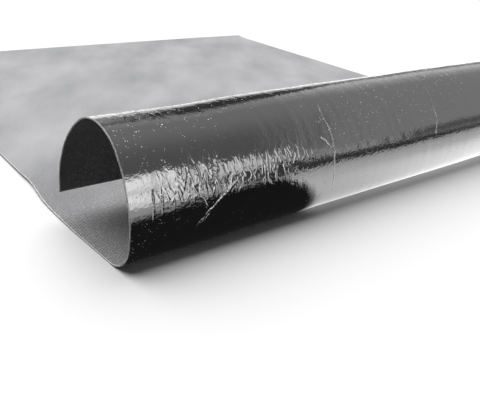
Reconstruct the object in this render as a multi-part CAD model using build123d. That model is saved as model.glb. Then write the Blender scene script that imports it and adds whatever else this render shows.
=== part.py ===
from build123d import *
from math import asin, atan2, degrees
import os

# Sheet of self-adhesive roofing felt, cut from the roll and lying on its film side, with one
# end rolled back over its fleece side. It is one laminated piece of even thickness.
# X runs along the roll's axis, +Y from the roll to the flat part, +Z up. Sizes in millimetres.

sheet_width = 1000.0
sheet_thickness = 1.5
flat_length = 1000.0

# The roll's bends, from the flat part round to the free end. Each is tangent to the one before.
# A radius is that of the film side, which is the outside of the roll, and a turn is in degrees.
heel_radius = 44.4
heel_turn = 82.2
front_radius = 122.5
front_turn = 44.5
crown_radius = 61.2
crown_turn = 89.5
rear_radius = 130.3

# The rear bend runs down until the free end's film edge is this high over the floor.
free_end_height = 36.8


def sheet_side(inset, bends):
    """One side of the section, from the cut back end round the bends, inset from the film side."""
    edges = [Line((flat_length, inset), (0, inset))]
    for radius, turn in bends:
        last = edges[-1]
        edges.append(JernArc(last @ 1, last % 1, radius - inset, -turn))
    return edges


def turn_down_to(height, crown, radius):
    """Degrees that a bend tangent to the crown turns to come down to a height."""
    crown_end = crown @ 1
    centre = crown_end + (crown % 1).rotate(Axis.Z, -90) * radius
    start_angle = atan2(crown_end.Y - centre.Y, crown_end.X - centre.X)
    end_angle = asin((height - centre.Y) / radius)
    return degrees(start_angle - end_angle)


bends = [
    (heel_radius, heel_turn),
    (front_radius, front_turn),
    (crown_radius, crown_turn),
]
rear_turn = turn_down_to(free_end_height, sheet_side(0, bends)[-1], rear_radius)
bends.append((rear_radius, rear_turn))

film_side = sheet_side(0, bends)
fleece_side = sheet_side(sheet_thickness, bends)
cut_back_end = Line(film_side[0] @ 0, fleece_side[0] @ 0)
free_end = Line(film_side[-1] @ 1, fleece_side[-1] @ 1)
section = make_face([*film_side, *fleece_side, cut_back_end, free_end])

# The section's own x and y become the part's Y and Z.
sheet = extrude(Plane.YZ * section, sheet_width / 2, both=True)

# The origin is under the middle of the whole piece, on the floor it lies on.
extent = sheet.bounding_box()
felt_sheet = Pos(0, -extent.center().Y, -extent.min.Z) * sheet
felt_sheet.label = "felt_sheet"

os.makedirs("parts", exist_ok=True)
export_step(felt_sheet, "parts/felt_sheet.step")
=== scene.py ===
from functools import reduce
from math import cos, exp, pi, radians, sin
from typing import NamedTuple

import bmesh
import bpy
from bpy.props import FloatProperty, FloatVectorProperty, IntProperty, PointerProperty
from mathutils import Matrix, Vector, noise


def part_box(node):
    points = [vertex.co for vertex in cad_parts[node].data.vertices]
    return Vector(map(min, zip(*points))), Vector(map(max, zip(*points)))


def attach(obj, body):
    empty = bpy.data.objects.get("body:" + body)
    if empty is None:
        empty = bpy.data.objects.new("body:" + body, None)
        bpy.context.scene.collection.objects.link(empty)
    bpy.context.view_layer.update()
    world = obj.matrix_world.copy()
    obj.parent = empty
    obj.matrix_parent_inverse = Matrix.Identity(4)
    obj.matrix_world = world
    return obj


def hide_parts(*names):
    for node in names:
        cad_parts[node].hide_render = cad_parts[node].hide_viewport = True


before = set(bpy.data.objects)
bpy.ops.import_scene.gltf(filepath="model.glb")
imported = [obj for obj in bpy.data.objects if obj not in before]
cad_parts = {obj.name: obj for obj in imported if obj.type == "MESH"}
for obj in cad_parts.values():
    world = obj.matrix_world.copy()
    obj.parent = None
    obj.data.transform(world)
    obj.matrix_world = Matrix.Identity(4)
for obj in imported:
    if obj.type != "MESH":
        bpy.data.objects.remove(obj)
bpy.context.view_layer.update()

bl_info = {
    "name": "Roofing Felt Sheet",
    "version": (1, 0, 0),
    "blender": (4, 5, 0),
    "location": "3D View > Sidebar > Felt",
    "description": "A sheet of self-adhesive roofing felt whose end is rolled back over itself",
    "category": "Object",
}

SHEET_LOW, SHEET_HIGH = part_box("felt_sheet")
SHEET_WIDTH = SHEET_HIGH.x - SHEET_LOW.x

BLACK = (0.0, 0.0, 0.0, 1.0)
WHITE = (1.0, 1.0, 1.0, 1.0)


class FeltSheetSizes(bpy.types.PropertyGroup):
    """Sizes of the sheet, its rolled end and its mesh."""

    thickness: FloatProperty(
        name="Thickness", description="From the film face to the fleece face",
        default=0.0015, min=0.0003, unit="LENGTH")
    flat_length: FloatProperty(
        name="Flat Length", description="From the start of the roll to the cut back end",
        default=1.0, min=0.1, unit="LENGTH")
    heel_radius: FloatProperty(
        name="Heel Radius", description="Bend where the roll leaves the flat part, on the film side",
        default=0.0444, min=0.005, unit="LENGTH")
    heel_turn: FloatProperty(
        name="Heel Turn", description="Angle of the heel bend", default=radians(82.2),
        subtype="ANGLE")
    front_radius: FloatProperty(
        name="Front Radius", description="Bend of the roll's front wall, on the film side",
        default=0.1225, min=0.005, unit="LENGTH")
    front_turn: FloatProperty(
        name="Front Turn", description="Angle of the front bend", default=radians(44.5),
        subtype="ANGLE")
    crown_radius: FloatProperty(
        name="Crown Radius", description="Bend over the top of the roll, on the film side",
        default=0.0612, min=0.005, unit="LENGTH")
    crown_turn: FloatProperty(
        name="Crown Turn", description="Angle of the crown bend", default=radians(89.5),
        subtype="ANGLE")
    rear_radius: FloatProperty(
        name="Rear Radius", description="Bend down to the free end, on the film side",
        default=0.1303, min=0.005, unit="LENGTH")
    rear_turn: FloatProperty(
        name="Rear Turn", description="Angle of the rear bend", default=radians(53.4),
        subtype="ANGLE")
    row_spacing: FloatProperty(
        name="Row Spacing", description="Mesh spacing round the roll", default=0.0034,
        min=0.001, unit="LENGTH")
    flat_rows: IntProperty(
        name="Flat Rows", description="Mesh rows along the flat part", default=46, min=4)
    fine_width: FloatProperty(
        name="Fine Width", description="Width from the near side edge that has the fine mesh",
        default=0.62, min=0.1, unit="LENGTH")
    fine_columns: IntProperty(
        name="Fine Columns", description="Mesh columns over the fine width", default=240, min=4)
    coarse_columns: IntProperty(
        name="Coarse Columns", description="Mesh columns over the rest", default=50, min=4)


class FeltSlack(bpy.types.PropertyGroup):
    """How far the limp felt strays from its plain shape."""

    swell: FloatProperty(
        name="Swell", description="Height of the slow swells round the roll",
        default=0.0011, unit="LENGTH")
    ripple: FloatProperty(
        name="Ripple", description="Height of the ripples round the roll",
        default=0.00035, unit="LENGTH")
    fold: FloatProperty(
        name="Fold", description="Height of the narrow folds that run round the roll",
        default=0.00016, unit="LENGTH")
    sag: FloatProperty(
        name="Sag", description="Depth of the hollow in the crown near the roll's near end",
        default=0.0022, unit="LENGTH")
    belly: FloatProperty(
        name="Belly", description="Height of the rear wall's bulge at the near end",
        default=0.0022, unit="LENGTH")
    crown: FloatProperty(
        name="Crown", description="How much fuller the crown is away from the near end",
        default=0.0018, unit="LENGTH")
    flat_swell: FloatProperty(
        name="Flat Swell", description="Height of the flat part's swells",
        default=0.0007, unit="LENGTH")
    first_wave: FloatProperty(
        name="First Wave", description="Height of the near side edge's wave next to the roll",
        default=0.0024, unit="LENGTH")
    second_wave: FloatProperty(
        name="Second Wave", description="Height of the near side edge's wave further back",
        default=0.0014, unit="LENGTH")
    end_lift: FloatProperty(
        name="End Lift", description="How far the cut back end turns up",
        default=0.003, unit="LENGTH")
    outset: FloatProperty(
        name="Outset", description="How far the near side edge runs outside its line at the roll",
        default=0.0018, unit="LENGTH")
    inset: FloatProperty(
        name="Inset", description="How far the near side edge then runs inside its line",
        default=0.0095, unit="LENGTH")
    back_inset: FloatProperty(
        name="Back Inset", description="How much further inside it runs behind that",
        default=0.0040, unit="LENGTH")
    fray: FloatProperty(
        name="Fray", description="How far the near side's cut strays from straight",
        default=0.0004, unit="LENGTH")


class FeltFinish(bpy.types.PropertyGroup):
    """Colours and relief of the sheet's faces."""

    film: FloatVectorProperty(
        name="Film", description="Reflection colour of the glossy film", subtype="COLOR",
        size=4, min=0, max=1, default=(0.36, 0.36, 0.36, 1))
    fleece: FloatVectorProperty(
        name="Fleece", description="Colour of the fleece", subtype="COLOR",
        size=4, min=0, max=1, default=(0.45, 0.45, 0.46, 1))
    cut_edge: FloatVectorProperty(
        name="Cut Edge", description="Colour of the cut edges", subtype="COLOR",
        size=4, min=0, max=1, default=(0.80, 0.79, 0.78, 1))
    fluff: FloatVectorProperty(
        name="Fluff", description="Colour of the fleece's loose fibres", subtype="COLOR",
        size=4, min=0, max=1, default=(0.88, 0.88, 0.88, 1))
    dust: FloatVectorProperty(
        name="Dust", description="Colour of the dust specks on the film", subtype="COLOR",
        size=4, min=0, max=1, default=(0.90, 0.90, 0.90, 1))
    fine_wrinkles: FloatProperty(
        name="Fine Wrinkles", description="Height of the film's finest wrinkles",
        default=0.00011, precision=5, unit="LENGTH")
    crossing_wrinkles: FloatProperty(
        name="Crossing Wrinkles", description="Height of the wrinkles that lean the other way",
        default=0.00015, precision=5, unit="LENGTH")
    broad_wrinkles: FloatProperty(
        name="Broad Wrinkles", description="Height of the broader wrinkles at the near end",
        default=0.00014, precision=5, unit="LENGTH")
    crown_wrinkles: FloatProperty(
        name="Crown Wrinkles", description="How much higher crossing wrinkles are on the crown",
        default=0.00014, precision=5, unit="LENGTH")
    crown_end_wrinkles: FloatProperty(
        name="Crown End Wrinkles", description="How much higher again at the crown's near end",
        default=0.00015, precision=5, unit="LENGTH")
    hatching: FloatProperty(
        name="Hatching", description="Height of the long slanting wrinkles on the crown",
        default=0.00045, precision=5, unit="LENGTH")
    grain: FloatProperty(
        name="Grain", description="Height of the grain on the roll's front",
        default=0.00010, precision=5, unit="LENGTH")
    front_ridges: FloatProperty(
        name="Front Ridges", description="Height of the ridges low on the front",
        default=0.00030, precision=5, unit="LENGTH")
    crown_ridges: FloatProperty(
        name="Crown Ridges", description="Height of the ridges at the crown's near end",
        default=0.00022, precision=5, unit="LENGTH")
    lattice_lean: FloatProperty(
        name="Lattice Lean", description="Angle of the lattice's leaning lines to the roll's axis",
        default=radians(40), subtype="ANGLE")
    leaning_spacing: FloatProperty(
        name="Leaning Spacing", description="Spacing of the lattice's leaning lines",
        default=0.0036, min=0.0005, precision=5, unit="LENGTH")
    straight_spacing: FloatProperty(
        name="Straight Spacing", description="Spacing of the lattice's lines along the sheet",
        default=0.0031, min=0.0005, precision=5, unit="LENGTH")
    lattice_height: FloatProperty(
        name="Lattice Height", description="Height of the fleece's embossed lattice",
        default=0.00045, precision=5, unit="LENGTH")
    tuft_height: FloatProperty(
        name="Tuft Height", description="Height of the fleece's tufts",
        default=0.0005, precision=5, unit="LENGTH")
    fibre_height: FloatProperty(
        name="Fibre Height", description="Height of single fibres",
        default=0.0001, precision=5, unit="LENGTH")


class StudioSettings(bpy.types.PropertyGroup):
    """Camera, floor and key light."""

    camera_place: FloatVectorProperty(
        name="Camera", description="Place of the camera", subtype="TRANSLATION",
        default=(-0.7748, -0.9913, 0.3514))
    camera_heading: FloatProperty(
        name="Heading", description="Direction of view, counted from +X towards +Y",
        default=radians(48.3), subtype="ANGLE")
    camera_dip: FloatProperty(
        name="Dip", description="How far the camera looks below level", default=radians(25.8),
        subtype="ANGLE")
    camera_roll: FloatProperty(
        name="Roll", description="How far the camera's right side is raised",
        default=radians(5.3), subtype="ANGLE")
    lens: FloatProperty(
        name="Lens", description="Focal length of the camera", default=45.9, unit="CAMERA")
    sensor_width: FloatProperty(
        name="Sensor Width", description="Width of the camera's sensor", default=36.0,
        unit="CAMERA")
    floor_size: FloatProperty(
        name="Floor Size", description="Side of the square floor", default=40.0, unit="LENGTH")
    floor_drop: FloatProperty(
        name="Floor Drop", description="How far the floor lies below the film, so that they part",
        default=0.0005, unit="LENGTH")
    floor_colour: FloatVectorProperty(
        name="Floor", description="Colour of the floor", subtype="COLOR", size=4, min=0, max=1,
        default=(0.93, 0.93, 0.93, 1))
    key_strength: FloatProperty(
        name="Key", description="Strength of the soft key light", default=3.45)
    key_spread: FloatProperty(
        name="Key Spread", description="Angle that the key light fills, seen from the sheet",
        default=radians(80), subtype="ANGLE")
    key_direction: FloatVectorProperty(
        name="Key Direction", description="Direction in which the key light lies",
        subtype="DIRECTION", default=(-0.12, 0.34, 0.92))


class Shade:
    """A value from a node tree, so that shader maths reads as an expression."""

    def __init__(self, graph, socket):
        self.graph = graph
        self.socket = socket

    def output(self, name):
        """Another output of the node that this value comes from."""
        return Shade(self.graph, self.graph.find(self.socket.node.outputs, name))

    def maths(self, operation, *others):
        """The result of a Math node on this value and the others."""
        values = dict(enumerate((self, *others)))
        return self.graph.node("ShaderNodeMath", {"operation": operation}, values)

    def __add__(self, other):
        return self.maths("ADD", other)

    __radd__ = __add__

    def __sub__(self, other):
        return self.maths("SUBTRACT", other)

    def __rsub__(self, other):
        return -self + other

    def __mul__(self, other):
        return self.maths("MULTIPLY", other)

    __rmul__ = __mul__

    def __pow__(self, other):
        return self.maths("POWER", other)

    def __neg__(self):
        return self * -1.0

    def __abs__(self):
        return self.maths("ABSOLUTE")

    def sine(self):
        """The sine of this value in radians."""
        return self.maths("SINE")

    def lower(self, other):
        """The lower of two values."""
        return self.maths("MINIMUM", other)

    def higher(self, other):
        """The higher of two values."""
        return self.maths("MAXIMUM", other)

    def between(self, at_none, at_full):
        """One value where this mask is 0 and another where it is 1."""
        return self * (at_full - at_none) + at_none


class Graph:
    """A node tree that is filled from code."""

    def __init__(self, tree):
        self.tree = tree
        tree.nodes.clear()

    @staticmethod
    def find(sockets, key):
        """A socket by its number, its identifier or its name."""
        if isinstance(key, int):
            return sockets[key]
        for socket in sockets:
            if socket.identifier == key:
                return socket
        return sockets[key]

    def node(self, kind, settings=None, values=None, output=0):
        """Adds a node with its settings and its sockets' values or links, and gives its output."""
        made = self.tree.nodes.new(kind)
        for name, setting in (settings or {}).items():
            setattr(made, name, setting)
        for key, value in (values or {}).items():
            socket = self.find(made.inputs, key)
            if isinstance(value, Shade):
                self.tree.links.new(value.socket, socket)
            else:
                socket.default_value = value
        if not made.outputs:
            return made
        return Shade(self, self.find(made.outputs, output))

    def split(self, vector):
        """The three components of a vector."""
        first = self.node("ShaderNodeSeparateXYZ", {}, {"Vector": vector})
        return first, first.output("Y"), first.output("Z")

    def step(self, value, low, high, below=0.0, above=1.0):
        """One value below low and another above high, smooth between them."""
        return self.node(
            "ShaderNodeMapRange", {"interpolation_type": "SMOOTHSTEP"},
            {"Value": value, "From Min": low, "From Max": high, "To Min": below, "To Max": above})

    def fade(self, value, low, high):
        """1 below low and 0 above high, smooth between them."""
        return self.step(value, low, high, below=1.0, above=0.0)

    def inside(self, x, y, left=None, right=None, low=None, high=None):
        """1 inside an area. Each side is given by where its soft edge starts and ends."""
        edges = []
        if left:
            edges.append(self.step(x, *left))
        if right:
            edges.append(self.fade(x, *right))
        if low:
            edges.append(self.step(y, *low))
        if high:
            edges.append(self.fade(y, *high))
        return reduce(Shade.__mul__, edges)

    def mix(self, share, first, second):
        """A colour between two colours."""
        return self.node(
            "ShaderNodeMix", {"data_type": "RGBA"},
            {"Factor_Float": share, "A_Color": first, "B_Color": second}, "Result_Color")

    def noise(self, vector, scale, detail=2.0, roughness=0.5, distortion=0.0):
        """Smooth noise from 0 to 1, whose scale is about its number of spots in a unit."""
        return self.node(
            "ShaderNodeTexNoise", {"noise_dimensions": "3D"},
            {"Vector": vector, "Scale": scale, "Detail": detail, "Roughness": roughness,
             "Distortion": distortion}, "Fac")

    def stretched(self, vector, scale, turn):
        """Coordinates turned about their third axis, then scaled."""
        turned = self.node(
            "ShaderNodeVectorRotate", {"rotation_type": "Z_AXIS"},
            {"Vector": vector, "Angle": turn})
        return self.node("ShaderNodeMapping", {}, {"Vector": turned, "Scale": scale})

    def bump(self, height):
        """The surface's normal over a relief whose height is in metres."""
        return self.node(
            "ShaderNodeBump", {}, {"Strength": 1.0, "Distance": 1.0, "Height": height}, "Normal")

    def surface(self, values):
        """Adds the surface shader with its sockets' values, and the material's output."""
        shader = self.node("ShaderNodeBsdfPrincipled", {}, values)
        self.node("ShaderNodeOutputMaterial", {}, {"Surface": shader})


class SheetGraph(Graph):
    """A material's node tree that knows its place on the sheet laid out flat.

    Places are in metres across the sheet from its near side edge and along it from its free end.
    """

    def __init__(self, tree):
        super().__init__(tree)
        self.flat = self.node("ShaderNodeUVMap", {"uv_map": "sheet"})
        self.across, self.along, _ = self.split(self.flat)

    def zone(self, **edges):
        """1 inside a zone of the sheet, with its left and right across it, low and high along it."""
        return self.inside(self.across, self.along, **edges)

    def spots(self, count, detail=2.0, roughness=0.5):
        """Even noise from 0 to 1, with about that many spots in a metre."""
        return self.noise(self.flat, count, detail, roughness)

    def sway(self, count, span=1.0, detail=2.0, roughness=0.5):
        """Even noise that strays by half a span to either side of 0."""
        return (self.spots(count, detail, roughness) - 0.5) * span

    def pattern(self, ripples):
        """Stretched noise from 0 to 1 in a pattern of ripples."""
        places = self.stretched(self.flat, (ripples.across, ripples.along, 1.0), ripples.turn)
        return self.noise(places, 1.0, ripples.detail, distortion=ripples.distortion)

    def cut_fibres_and_highlight(self, sizes):
        """1 in the ragged strip along the sheet's cut edges, painted pale both for its loose fibres and
        as a painted highlight where the edge catches light.
        """
        from_side = self.across.lower(SHEET_WIDTH - self.across)
        from_end = self.along.lower(sheet_length(sizes) - self.along)
        ragged = self.sway(300.0, span=0.0024)
        return self.fade(from_side.lower(from_end) + ragged, 0.0004, 0.0016)


class Ripples(NamedTuple):
    """Stretched noise: its counts in a metre across and along the sheet, and its turn in radians."""

    across: float
    along: float
    turn: float
    detail: float = 2.0
    distortion: float = 0.0


class Crease(NamedTuple):
    """A sharp line in the film through points across and along the sheet.

    Its width and height are in metres, and its wear is how pale the film is rubbed along it.
    """

    points: tuple
    width: float
    height: float
    wear: float = 0.0


class Dust(NamedTuple):
    """Specks of one size: cells in a metre, a speck's share of its cell, and how rare specks are."""

    cells: float
    share: float
    rareness: float


FINE_RIPPLES = Ripples(across=240.0, along=300.0, turn=0.25)
CROSSING_RIPPLES = Ripples(across=160.0, along=230.0, turn=-0.35)
BROAD_RIPPLES = Ripples(across=105.0, along=140.0, turn=0.15, detail=1.0, distortion=0.4)
HATCHING = Ripples(across=190.0, along=45.0, turn=0.55)
RIDGES = Ripples(across=115.0, along=50.0, turn=0.10, detail=1.0, distortion=0.3)
RIDGE_SHARPNESS = 11.0
FLEECE_CLOUDS = Ripples(across=5.0, along=11.0, turn=radians(-52), detail=2.5)

CREASES = (
    # The long crease on the roll's front, with a branch to the left of it.
    Crease(((0.292, 0.196), (0.290, 0.211), (0.292, 0.221)), width=0.0014, height=0.00025, wear=0.5),
    Crease(((0.292, 0.221), (0.297, 0.238), (0.298, 0.262)), width=0.0018, height=0.00045, wear=0.85),
    Crease(((0.298, 0.262), (0.297, 0.283), (0.300, 0.308)), width=0.0014, height=0.00018, wear=0.25),
    Crease(((0.278, 0.237), (0.286, 0.244), (0.296, 0.256)), width=0.0014, height=0.00030, wear=0.45),
    # Those low on the front, towards the near end.
    Crease(
        ((0.135, 0.268), (0.118, 0.281), (0.106, 0.289), (0.094, 0.298), (0.083, 0.310)),
        width=0.0022, height=0.00042, wear=0.18),
    Crease(((0.103, 0.290), (0.100, 0.297), (0.083, 0.310)), width=0.0016, height=0.00040, wear=0.12),
    Crease(
        ((0.087, 0.239), (0.090, 0.261), (0.091, 0.275), (0.096, 0.290)),
        width=0.0022, height=0.00045, wear=0.2),
    # Two short ones next to the near side edge.
    Crease(((0.030, 0.254), (0.027, 0.288)), width=0.0017, height=0.00040),
    Crease(((0.040, 0.262), (0.040, 0.283)), width=0.0017, height=0.00040),
    # One further along the roll.
    Crease(((0.520, 0.198), (0.521, 0.231), (0.525, 0.245)), width=0.0013, height=0.00020, wear=0.3),
    Crease(((0.525, 0.245), (0.520, 0.268)), width=0.0014, height=0.00040, wear=0.6),
)
# Half the length over which a stretch of a crease starts or ends.
CREASE_END = 0.002

DUST = (
    Dust(cells=170.0, share=0.17, rareness=0.53),
    Dust(cells=340.0, share=0.22, rareness=0.54),
)
# The part of a speck that is fully pale, and how softly rareness cuts specks off.
SPECK_CORE = 0.6
RARENESS_SPAN = 0.04
# Specks come and go in patches, with this many patches to a cell.
PATCHES_PER_CELL = 0.45

# The stretch of the film that goes over the top of the roll.
CROWN = {"low": (0.12, 0.14), "high": (0.165, 0.18)}

# How strongly each of the fleece's patterns shows in its tone.
CLOUD_TONE = 1.05
LATTICE_TONE = 0.675
BLOTCH_TONE = 0.42
TUFT_TONE = 2.0
FIBRE_TONE = 1.2


def shaded(colour, share):
    """A colour made darker or lighter."""
    return (*(min(1.0, share * channel) for channel in colour[:3]), 1.0)


def new_material(name, kind=Graph):
    """A material and its emptied node tree."""
    material = bpy.data.materials.new(name)
    material.use_nodes = True
    return material, kind(material.node_tree)


def film_wrinkles(graph, finish):
    """Height of the film's wrinkles, which gather at the roll's near end and on its crown."""
    patches = graph.step(graph.spots(16.0, 3.0), 0.40, 0.62).between(0.3, 1.0)
    near_end = graph.zone(left=(0.01, 0.06), right=(0.16, 0.32))
    low_front = graph.zone(low=(0.22, 0.245), high=(0.266, 0.286)) * near_end
    grainy_front = graph.zone(low=(0.21, 0.25), high=(0.29, 0.31))
    crown = graph.zone(**CROWN)
    crown_end = graph.zone(left=(0.00, 0.03), right=(0.08, 0.12), **CROWN)

    crossing = graph.pattern(CROSSING_RIPPLES)
    everywhere = (
        graph.pattern(FINE_RIPPLES) * finish.fine_wrinkles
        + crossing * finish.crossing_wrinkles * patches * near_end.between(0.4, 1.0)
        + graph.pattern(BROAD_RIPPLES) * finish.broad_wrinkles * near_end.between(0.15, 1.0))
    on_crown = (
        crossing * (crown_end * finish.crown_end_wrinkles + crown * finish.crown_wrinkles)
        + graph.pattern(HATCHING) * crown * finish.hatching)
    on_front = graph.spots(250.0, 1.0) * grainy_front * finish.grain
    # A ridge runs where this noise passes its middle value.
    ridges = (1.0 - abs(graph.pattern(RIDGES) - 0.5) * RIDGE_SHARPNESS).higher(0.0)
    ridges = ridges * (low_front * patches * finish.front_ridges + crown_end * finish.crown_ridges)
    return everywhere + on_crown + on_front + ridges


def crease_line(graph, crease, wander):
    """1 on a crease and 0 a width away from it."""
    stretches = []
    for start, end in zip(crease.points, crease.points[1:]):
        way = Vector(end) - Vector(start)
        length = way.length
        way.normalize()
        across = graph.across - start[0]
        along = graph.along - start[1]
        forward = across * way.x + along * way.y
        sideways = across * way.y - along * way.x + wander
        stretches.append(graph.inside(
            forward, abs(sideways), left=(-CREASE_END, CREASE_END),
            right=(length - CREASE_END, length + CREASE_END), high=(0.0, crease.width)))
    return reduce(Shade.higher, stretches)


def film_creases(graph):
    """Height of the film's creases, and how far the film is worn pale along them."""
    wander = graph.sway(90.0, span=0.006, detail=3.0)
    heights = []
    wears = []
    for crease in CREASES:
        line = crease_line(graph, crease, wander)
        heights.append(line * crease.height)
        if crease.wear:
            wears.append(line * crease.wear)
    broken = graph.step(graph.spots(300.0), 0.25, 0.5)
    return reduce(Shade.higher, heights), reduce(Shade.higher, wears) * broken


def film_dust(graph):
    """1 on the dust, which gathers at the near end and in a patch low on the roll's front."""
    patch = graph.zone(left=(0.27, 0.32), right=(0.46, 0.62), low=(0.185, 0.22), high=(0.245, 0.265))
    near_end = graph.zone(right=(0.03, 0.10))
    gathered = near_end * 0.042 + patch * 0.055 - graph.zone(**CROWN) * 0.02 - 0.024
    dusty = graph.step(graph.spots(6.0), 0.34, 0.56).higher(patch)
    specks = []
    for dust in DUST:
        from_middle = graph.node(
            "ShaderNodeTexVoronoi", {"feature": "F1"},
            {"Vector": graph.flat, "Scale": dust.cells}, "Distance")
        chance = graph.spots(dust.cells * PATCHES_PER_CELL, 1.0) + gathered
        specks.append(
            graph.fade(from_middle, dust.share * SPECK_CORE, dust.share)
            * graph.step(chance, dust.rareness, dust.rareness + RARENESS_SPAN))
    return reduce(Shade.higher, specks) * dusty


def film_material(finish, sizes):
    """Glossy black film with fine wrinkles across the roll, creases and dust."""
    material, graph = new_material("glossy_film", SheetGraph)
    crease_height, worn = film_creases(graph)
    # The cut edges are pale, for their loose fibres and as a painted highlight.
    border = graph.cut_fibres_and_highlight(sizes) * 0.55
    pale = film_dust(graph).higher(worn).higher(border)
    gloss = graph.spots(30.0, 3.0).between(0.02, 0.11)
    graph.surface({
        "Base Color": graph.mix(pale, finish.film, finish.dust),
        "Metallic": 1.0 - pale,
        "Roughness": gloss.higher(pale * 0.8),
        "Normal": graph.bump(film_wrinkles(graph, finish) + crease_height),
    })
    return material


def fleece_lattice(graph, finish):
    """The fleece's embossed lines from -1 to 1, wavering and weaker in patches.

    One set of lines leans from the roll's axis and the other runs along the sheet.
    """
    waver = graph.sway(60.0, span=0.0014) + graph.sway(170.0, span=0.0016, detail=1.0)
    lean = finish.lattice_lean
    over_lines = graph.along * cos(lean) - graph.across * sin(lean)
    leaning = ((over_lines + waver) * (2 * pi / finish.leaning_spacing)).sine()
    straight = ((graph.across + waver) * (2 * pi / finish.straight_spacing)).sine()
    small_patches = graph.step(graph.spots(110.0), 0.32, 0.62)
    large_patches = graph.step(graph.spots(28.0), 0.36, 0.60)
    depth = small_patches * large_patches.between(0.4, 1.0)
    return (leaning + straight) * 0.5 * depth.between(0.15, 1.0)


def fleece_material(finish, sizes):
    """Grey spunbonded fleece with a fine embossed lattice, cloudy tone and painted shade round the
    roll.
    """
    material, graph = new_material("grey_fleece", SheetGraph)
    # The relief is crisp round the roll and softer along the flat part.
    crisp = graph.step(graph.along, 0.42, 0.62).between(1.0, 0.25)
    lattice = fleece_lattice(graph, finish) * crisp
    tufts = graph.sway(280.0, roughness=0.6)
    fibres = graph.sway(700.0, detail=3.0, roughness=0.6)
    blotches = graph.sway(45.0, detail=3.0)
    clouds = graph.pattern(FLEECE_CLOUDS) - 0.5

    # The fleece is painted a little darker round the roll: painted shade where the rolled end overhangs
    # it.
    tone = graph.step(graph.along, 0.40, 0.78).between(0.08, 0.5)
    tone = tone + clouds * CLOUD_TONE + lattice * LATTICE_TONE
    tone = tone + (blotches * BLOTCH_TONE + tufts * TUFT_TONE + fibres * FIBRE_TONE) * crisp
    colour = graph.mix(tone, shaded(finish.fleece, 0.62), shaded(finish.fleece, 1.38))
    loose = graph.step(graph.spots(420.0, 1.0), 0.68, 0.75) * 0.6
    # The cut edges are pale, for their loose fibres and as a painted highlight.
    border = graph.cut_fibres_and_highlight(sizes) * 0.9
    height = (
        lattice * finish.lattice_height + tufts * finish.tuft_height
        + fibres * finish.fibre_height)
    graph.surface({
        "Base Color": graph.mix(loose.higher(border), colour, finish.fluff),
        "Roughness": 0.92,
        "Specular IOR Level": 0.25,
        "Normal": graph.bump(height),
    })
    return material


def cut_edge_material(finish):
    """Cut edge of the laminate, grey with pale fibres."""
    material, graph = new_material("cut_edge")
    place = graph.node("ShaderNodeTexCoord", {}, {}, "Object")
    fibres = graph.step(graph.noise(place, 700.0), 0.35, 0.65)
    graph.surface({
        "Base Color": graph.mix(fibres, shaded(finish.cut_edge, 0.6), shaded(finish.cut_edge, 1.5)),
        "Roughness": 0.9,
        "Specular IOR Level": 0.2,
    })
    return material


def sheet_bends(sizes):
    """Radius and turn of each bend, from the flat part round to the free end."""
    return (
        (sizes.heel_radius, sizes.heel_turn),
        (sizes.front_radius, sizes.front_turn),
        (sizes.crown_radius, sizes.crown_turn),
        (sizes.rear_radius, sizes.rear_turn),
    )


def roll_length(sizes):
    """Length of the film face round the rolled end."""
    return sum(radius * turn for radius, turn in sheet_bends(sizes))


def sheet_length(sizes):
    """Length of the film face, laid out flat."""
    return sizes.flat_length + roll_length(sizes)


def bell(value, middle, spread):
    """1 at the middle, falling to 0.6 one spread away and to 0.01 three spreads away."""
    return exp(-0.5 * ((value - middle) / spread) ** 2)


def ramp(value, low, high):
    """0 below low and 1 above high, smooth between them."""
    share = min(1.0, max(0.0, (value - low) / (high - low)))
    return share * share * (3 - 2 * share)


def near_side(x, reach):
    """1 at the sheet's near side edge, falling to about a third a reach away."""
    return exp(-(x - SHEET_LOW.x) / reach)


def waves(x, distance, counts, layer):
    """Smooth noise from about -1 to 1, with its counts in a metre across and along the sheet.

    Each layer is noise of its own.
    """
    return noise.noise(Vector((x * counts[0], distance * counts[1], layer)))


# How far the folds shift across the sheet for each metre round the roll.
FOLD_LEAN = 0.1412
# The unevenness of the rolled end starts over this length from the heel.
HEEL_EASE = 0.05
# The cut back end turns up over this length.
END_LIFT_LENGTH = 0.03


def bulge(slack, x, ahead):
    """How far the rolled end stands out from its plain section, along the film's normal."""
    across = x - SHEET_LOW.x
    swell = slack.swell * waves(x, ahead, (5.0, 9.0), layer=3.1) * ramp(across, 0.0, 0.05)
    ripple = slack.ripple * waves(x, ahead, (22.0, 16.0), layer=7.7)
    fold = slack.fold * waves(x + ahead * FOLD_LEAN, ahead, (85.0, 14.0), layer=1.3)
    sag = slack.sag * bell(across, middle=0.125, spread=0.040) * bell(ahead, middle=0.215, spread=0.045)
    belly = slack.belly * bell(ahead, middle=0.335, spread=0.035) * near_side(x, reach=0.25)
    crown = slack.crown * bell(ahead, middle=0.236, spread=0.025) * ramp(across, 0.02, 0.16)
    return swell + ripple + fold - sag + belly + crown


def flat_lift(slack, x, to_back, sizes):
    """How far the flat part stands off the floor."""
    swell = slack.flat_swell * max(0.0, 0.5 + waves(x, to_back, (4.0, 5.0), layer=9.2))
    edge_wave = (
        slack.first_wave * bell(to_back, middle=0.230, spread=0.045)
        + slack.second_wave * bell(to_back, middle=0.42, spread=0.10))
    end_lift = slack.end_lift * ramp(
        to_back, sizes.flat_length - END_LIFT_LENGTH, sizes.flat_length)
    # The cut back end turns up unevenly across the sheet.
    uneven = 0.7 + 0.5 * sin(x * 5.0)
    return (
        swell * ramp(to_back, 0.0, 0.12) + edge_wave * near_side(x, reach=0.07)
        + end_lift * uneven)


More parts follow.
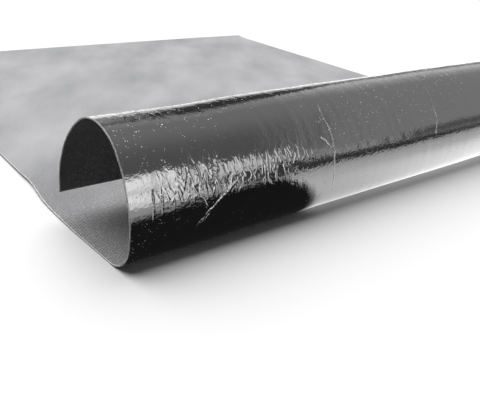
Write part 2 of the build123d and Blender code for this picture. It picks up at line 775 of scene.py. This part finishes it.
def edge_shift(slack, x, to_back):
    """How far the near side edge of the flat part runs inside its straight line."""
    inset = slack.inset * ramp(to_back, 0.155, 0.245) + slack.back_inset * ramp(to_back, 0.24, 0.40)
    inset *= 1.0 - ramp(to_back, 0.45, 0.90)
    outset = slack.outset * bell(to_back, middle=0.085, spread=0.040)
    return (inset - outset) * near_side(x, reach=0.15)


def fray(slack, x, to_back):
    """How far the near side's cut strays outwards from straight."""
    ragged = noise.noise(Vector((to_back * 160.0, 4.4, 0.0)))
    return slack.fray * ragged * near_side(x, reach=0.004)


def outward(heading):
    """The film's normal where the section heads an angle, counted from +Y towards +Z."""
    return Vector((0.0, -sin(heading), cos(heading)))


class SheetSurface:
    """The film face of the sheet, grown row by row from its cut back end to its free end.

    Each vertex knows how far it lies from the start of the roll towards the back end, which is
    negative round the roll, and where the section heads there.
    """

    def __init__(self, sizes):
        self.sizes = sizes
        self.bm = bmesh.new()
        self.to_back = self.bm.verts.layers.float.new("to_back")
        self.heading = self.bm.verts.layers.float.new("heading")
        self.uv = self.bm.loops.layers.uv.new("sheet")
        self.row = self.first_row()

    def label(self, verts, to_back, heading):
        """Notes where the vertices of a row lie on the sheet."""
        for vert in verts:
            vert[self.to_back] = to_back
            vert[self.heading] = heading

    def first_row(self):
        """The cut back end as a row of edges, finer towards the near side edge."""
        places = (SHEET_LOW.x, SHEET_LOW.x + self.sizes.fine_width, SHEET_HIGH.x)
        verts = [self.bm.verts.new((x, SHEET_HIGH.y, 0.0)) for x in places]
        edges = [self.bm.edges.new(ends) for ends in zip(verts, verts[1:])]
        for edge, count in zip(edges, (self.sizes.fine_columns, self.sizes.coarse_columns)):
            bmesh.ops.subdivide_edges(self.bm, edges=[edge], cuts=count - 1)
        self.label(self.bm.verts, self.sizes.flat_length, pi)
        return list(self.bm.edges)

    def grow(self, to_back, heading):
        """Extrudes the last row, and gives the new vertices for the caller to move."""
        made = bmesh.ops.extrude_edge_only(self.bm, edges=self.row)["geom"]
        verts = [part for part in made if isinstance(part, bmesh.types.BMVert)]
        fresh = set(verts)
        self.row = [
            part for part in made
            if isinstance(part, bmesh.types.BMEdge) and set(part.verts) <= fresh]
        self.label(verts, to_back, heading)
        return verts

    def lay_flat_part(self):
        """Grows the flat part towards the roll."""
        step = self.sizes.flat_length / self.sizes.flat_rows
        for count in range(1, self.sizes.flat_rows + 1):
            verts = self.grow(self.sizes.flat_length - count * step, pi)
            bmesh.ops.translate(self.bm, vec=(0.0, -step, 0.0), verts=verts)

    def roll_end(self):
        """Grows the rolled end, bend after bend."""
        heading = pi
        ahead = 0.0
        tip = Vector((0.0, SHEET_HIGH.y - self.sizes.flat_length, 0.0))
        for radius, turn in sheet_bends(self.sizes):
            length = radius * turn
            centre = tip - radius * outward(heading)
            steps = max(2, round(length / self.sizes.row_spacing))
            rotation = Matrix.Rotation(-turn / steps, 3, "X")
            for count in range(1, steps + 1):
                share = count / steps
                verts = self.grow(-ahead - length * share, heading - turn * share)
                bmesh.ops.rotate(self.bm, cent=centre, matrix=rotation, verts=verts)
            heading -= turn
            ahead += length
            tip = centre + radius * outward(heading)

    def map_sheet(self):
        """Maps each corner to its place on the sheet laid out flat, in metres."""
        rolled = roll_length(self.sizes)
        for face in self.bm.faces:
            for loop in face.loops:
                vert = loop.vert
                loop[self.uv].uv = (vert.co.x - SHEET_LOW.x, rolled + vert[self.to_back])

    def slacken(self, slack):
        """Moves the vertices off the plain shape as limp felt hangs and lies."""
        for vert in self.bm.verts:
            x = vert.co.x
            to_back = vert[self.to_back]
            vert.co.x -= fray(slack, x, to_back)
            if to_back > 0:
                vert.co.x += edge_shift(slack, x, to_back)
                vert.co.z += flat_lift(slack, x, to_back, self.sizes)
            else:
                rise = bulge(slack, x, -to_back) * ramp(-to_back, 0.0, HEEL_EASE)
                vert.co += outward(vert[self.heading]) * rise

    def turn_film_outward(self):
        """Turns the faces so that the film looks down at the cut back end."""
        self.bm.normal_update()
        back_face = max(self.bm.faces, key=lambda face: face.calc_center_median().y)
        if back_face.normal.z > 0:
            bmesh.ops.reverse_faces(self.bm, faces=self.bm.faces)

    def finish(self, name):
        """The smooth mesh, with sharp edges at the cuts."""
        for face in self.bm.faces:
            face.smooth = True
        for edge in self.bm.edges:
            edge.smooth = not edge.is_boundary
        mesh = bpy.data.meshes.new(name)
        self.bm.to_mesh(mesh)
        self.bm.free()
        return mesh


class FELT_OT_sheet(bpy.types.Operator):
    """Builds the felt sheet with its rolled end"""

    bl_idname = "felt.sheet"
    bl_label = "Felt Sheet"

    def execute(self, context):
        sizes = context.scene.felt_sizes
        finish = context.scene.felt_finish
        surface = SheetSurface(sizes)
        surface.lay_flat_part()
        surface.roll_end()
        surface.map_sheet()
        surface.slacken(context.scene.felt_slack)
        surface.turn_film_outward()
        mesh = surface.finish("felt_sheet_skin")
        piece = bpy.data.objects.new("felt_sheet_skin", mesh)
        context.scene.collection.objects.link(piece)

        # The thickness grows inwards from the film. It gives its inner face the second material,
        # the fleece, and its rim the third, the cut edge.
        mesh.materials.append(film_material(finish, sizes))
        mesh.materials.append(fleece_material(finish, sizes))
        mesh.materials.append(cut_edge_material(finish))
        wall = piece.modifiers.new("Thickness", "SOLIDIFY")
        wall.thickness = sizes.thickness
        wall.offset = -1.0
        wall.material_offset = 1
        wall.material_offset_rim = 2

        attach(piece, "root")
        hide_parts("felt_sheet")
        return {"FINISHED"}


# The brightest that the floor's glow gets.
FULL_GLOW = 2.0


def floor_glow(graph, east, north):
    """Brightness of the glow that the film mirrors in the floor, a painted reflection with two dark
    patches painted into it.
    """
    # One painted dark patch lies in front of the roll's near half. The other lies further out and is a
    # little less dark to the right. Both show only in the film's reflection.
    near_dark_reflection = graph.inside(
        east + north * 0.55, north + east * 0.44, right=(-0.502, -0.472), low=(-0.988, -0.848))
    far_dark_reflection = graph.inside(
        east + north * 0.60, north, left=(-0.652, -0.472), high=(-1.02, -0.86))
    far_darkness = graph.step(east + north, -0.3, 0.8).between(0.93, 0.79)
    # The painted glow is brighter at the foot of the roll, most to the right, and far out in front.
    at_roll = graph.step(north, -0.88, -0.60)
    at_foot = graph.inside(east, north, left=(-0.25, 0.25), low=(-0.66, -0.54))
    far_out = graph.fade(north, -1.60, -1.00)
    glow = at_roll.between(0.65, 1.0) + at_foot * 0.8 + far_out * 0.8
    return glow * near_dark_reflection.between(1.0, 0.02) * (1.0 - far_dark_reflection * far_darkness)


def floor_material(studio):
    """Plain pale floor, with a glow, a painted reflection, that shows only where something mirrors it.
    """
    material, graph = new_material("pale_floor")
    east, north, _ = graph.split(graph.node("ShaderNodeTexCoord", {}, {}, "Object"))
    seen = graph.node("ShaderNodeLightPath", {}, {}, "Is Camera Ray")
    mirrored = seen.output("Is Glossy Ray")
    glow = floor_glow(graph, east, north) * mirrored
    glow_colour = graph.mix(glow * (1 / FULL_GLOW), BLACK, (FULL_GLOW, FULL_GLOW, FULL_GLOW, 1.0))
    # Little of the light bounces back up on to the sheet.
    colour = graph.mix(seen, shaded(studio.floor_colour, 0.06), studio.floor_colour)
    graph.surface({
        "Base Color": graph.mix(mirrored, colour, BLACK),
        "Roughness": 0.9,
        "Specular IOR Level": 0.0,
        "Emission Color": glow_colour,
        "Emission Strength": 1.0,
    })
    return material


# The surroundings that the film mirrors. East is a direction's share towards +X, and climb is
# its angle in degrees from the horizon in front, over the top, to the horizon behind.
CEILING_LEVEL = 0.43
# The front panel's top edge comes down to the right of this place, by degrees for each unit of
# east. A bar slants across the panel from its climb at an east of 0.
PANEL_TOP_START = 0.54
PANEL_TOP_SLOPE = 85.0
BAR_CLIMB = 33.5
BAR_SLOPE = 48.0
# Degrees by which the dark streak right of the panel is thinner over a part of its length.
STREAK_DIP = 11.5
# The lower edge of the gap behind rises to the right of this place, by degrees for each squared
# unit of east.
GAP_RISE_START = 0.60
GAP_RISE = 1500.0
BACK_BAR_CLIMB = 128.0


def front_light(graph, level, east, climb):
    """The surroundings' brightness with what stands in front."""
    low_front = graph.inside(east, climb, right=(0.60, 0.80), high=(30.0, 100.0))
    level = level * low_front.between(1.0, 0.5)

    # A bright panel stands low in front, brightest to the left, with the thin bar across it.
    bright = (
        graph.fade(east, 0.46, 0.55) * 0.9
        + graph.fade(east, 0.60, 0.72) * 1.05
        + graph.fade(east, 0.76, 0.80) * 0.2)
    under_top = climb + (east - PANEL_TOP_START).higher(0.0) * PANEL_TOP_SLOPE
    panel = graph.inside(east, under_top, left=(0.28, 0.36), high=(23.0, 30.0))
    bar = graph.fade(abs(climb + east * BAR_SLOPE - BAR_CLIMB), 0.5, 5.0)
    level = level + panel * bright * bar.between(1.0, 0.7)

    # Right of the panel the horizon is dark, least at the far right.
    dip = graph.inside(east, climb, left=(0.66, 0.74), right=(0.77, 0.81)) * STREAK_DIP
    streak = graph.inside(east, climb + dip, left=(0.545, 0.60), high=(5.0, 12.0))
    darkness = graph.step(east, 0.74, 0.84).between(0.92, 0.59)
    return level * (1.0 - streak * darkness)


def back_light(graph, level, east, climb):
    """The surroundings' brightness with what stands behind."""
    # A dark gap lies between the ceiling and the strip on the horizon.
    over_edge = climb - (east - GAP_RISE_START).higher(0.0) ** 2.0 * GAP_RISE
    gap = graph.inside(east, over_edge, left=(0.46, 0.54), low=(121.0, 133.0))
    gap = gap * graph.fade(climb, 163.0, 171.0)
    # A thin bar stands out to the left of the gap, and low down the right is dark.
    bar = graph.inside(east, abs(climb - BACK_BAR_CLIMB), right=(0.50, 0.54), high=(1.0, 5.0))
    low_right = graph.inside(east, climb, left=(0.70, 0.76), low=(152.0, 161.0))
    level = level * gap.between(1.0, 0.14) * bar.between(1.0, 0.45) * low_right.between(1.0, 0.2)

    # A bright strip runs along the horizon, brightest to the left.
    strip = graph.step(climb, 159.0, 168.0)
    strip_level = 1.1 + graph.fade(east, 0.44, 0.54) * 0.5 - graph.step(east, 0.72, 0.78) * 0.75
    return level * (1.0 - strip) + strip_level * strip


def build_world():
    """Soft studio surroundings, white to the camera, with the panels that the film mirrors."""
    world = bpy.data.worlds.new("studio")
    bpy.context.scene.world = world
    world.use_nodes = True
    graph = Graph(world.node_tree)
    east, north, up = graph.split(graph.node("ShaderNodeTexCoord", {}, {}, "Generated"))
    climb = up.maths("ARCTAN2", -north) * (180 / pi)

    # The ceiling is brighter to the right and behind, and most where both meet.
    right = graph.step(east, 0.62, 0.80)
    behind = graph.step(climb, 106.0, 126.0)
    both = graph.inside(east, climb, left=(0.62, 0.72), low=(116.0, 145.0))
    level = CEILING_LEVEL + right * 0.07 + behind * 0.15 + both * 0.38
    level = front_light(graph, level, east, climb)
    level = back_light(graph, level, east, climb)
    level = level * graph.step(east, -0.1, 0.4).between(0.04, 1.0)

    # The surroundings light the sheet less than they show in the film.
    seen = graph.node("ShaderNodeLightPath", {}, {}, "Is Camera Ray")
    level = level * seen.output("Is Glossy Ray").between(0.5, 0.83)
    background = graph.node(
        "ShaderNodeBackground", {}, {"Color": WHITE, "Strength": level * (1.0 - seen) + seen})
    graph.node("ShaderNodeOutputWorld", {}, {"Surface": background})


def build_floor(scene, studio):
    """The floor that the sheet lies on."""
    bm = bmesh.new()
    bmesh.ops.create_grid(bm, x_segments=1, y_segments=1, size=studio.floor_size / 2)
    bmesh.ops.translate(bm, vec=(0.0, 0.0, -studio.floor_drop), verts=bm.verts)
    mesh = bpy.data.meshes.new("floor")
    bm.to_mesh(mesh)
    bm.free()
    mesh.materials.append(floor_material(studio))
    floor = bpy.data.objects.new("floor", mesh)
    scene.collection.objects.link(floor)


def build_key_light(scene, studio):
    """The soft light from above, which doesn't show in the film."""
    key = bpy.data.lights.new("key", "SUN")
    key.energy = studio.key_strength
    key.angle = studio.key_spread
    lamp = bpy.data.objects.new("key", key)
    lamp.rotation_euler = Vector(studio.key_direction).to_track_quat("Z", "Y").to_euler()
    lamp.visible_glossy = False
    scene.collection.objects.link(lamp)


def build_camera(scene, studio):
    """The camera, placed and turned as for the photograph."""
    camera = bpy.data.cameras.new("camera")
    camera.sensor_width = studio.sensor_width
    camera.lens = studio.lens
    camera.clip_end = 2.5 * studio.floor_size
    eye = bpy.data.objects.new("camera", camera)
    eye.matrix_world = (
        Matrix.Translation(studio.camera_place)
        @ Matrix.Rotation(studio.camera_heading - pi / 2, 4, "Z")
        @ Matrix.Rotation(pi / 2 - studio.camera_dip, 4, "X")
        @ Matrix.Rotation(studio.camera_roll, 4, "Z"))
    scene.collection.objects.link(eye)
    scene.camera = eye


class FELT_OT_stage(bpy.types.Operator):
    """Builds the floor, the surroundings, the key light and the camera"""

    bl_idname = "felt.stage"
    bl_label = "Stage"

    def execute(self, context):
        scene = context.scene
        studio = scene.felt_studio
        scene.view_settings.view_transform = "Standard"
        build_floor(scene, studio)
        build_world()
        build_key_light(scene, studio)
        build_camera(scene, studio)
        return {"FINISHED"}


class FELT_PT_panel(bpy.types.Panel):
    """Sidebar panel with the sheet's sizes, slack and finish, and the stage"""

    bl_idname = "FELT_PT_panel"
    bl_label = "Roofing Felt"
    bl_space_type = "VIEW_3D"
    bl_region_type = "UI"
    bl_category = "Felt"

    def draw(self, context):
        scene = context.scene
        parts = (
            ("felt.sheet", (scene.felt_sizes, scene.felt_slack, scene.felt_finish)),
            ("felt.stage", (scene.felt_studio,)),
        )
        for operator, groups in parts:
            box = self.layout.box()
            for group in groups:
                for name in group.__annotations__:
                    box.prop(group, name)
            box.operator(operator)


GROUPS = {
    "felt_sizes": FeltSheetSizes,
    "felt_slack": FeltSlack,
    "felt_finish": FeltFinish,
    "felt_studio": StudioSettings,
}
CLASSES = (*GROUPS.values(), FELT_OT_sheet, FELT_OT_stage, FELT_PT_panel)


def register():
    """Registers the classes and hangs the groups of settings on the scene."""
    for made in CLASSES:
        bpy.utils.register_class(made)
    for name, group in GROUPS.items():
        setattr(bpy.types.Scene, name, PointerProperty(type=group))


def unregister():
    """Takes back what register did."""
    for name in GROUPS:
        delattr(bpy.types.Scene, name)
    for made in reversed(CLASSES):
        bpy.utils.unregister_class(made)


def main():
    register()
    bpy.ops.felt.sheet()
    bpy.ops.felt.stage()


if __name__ == "__main__":
    main()
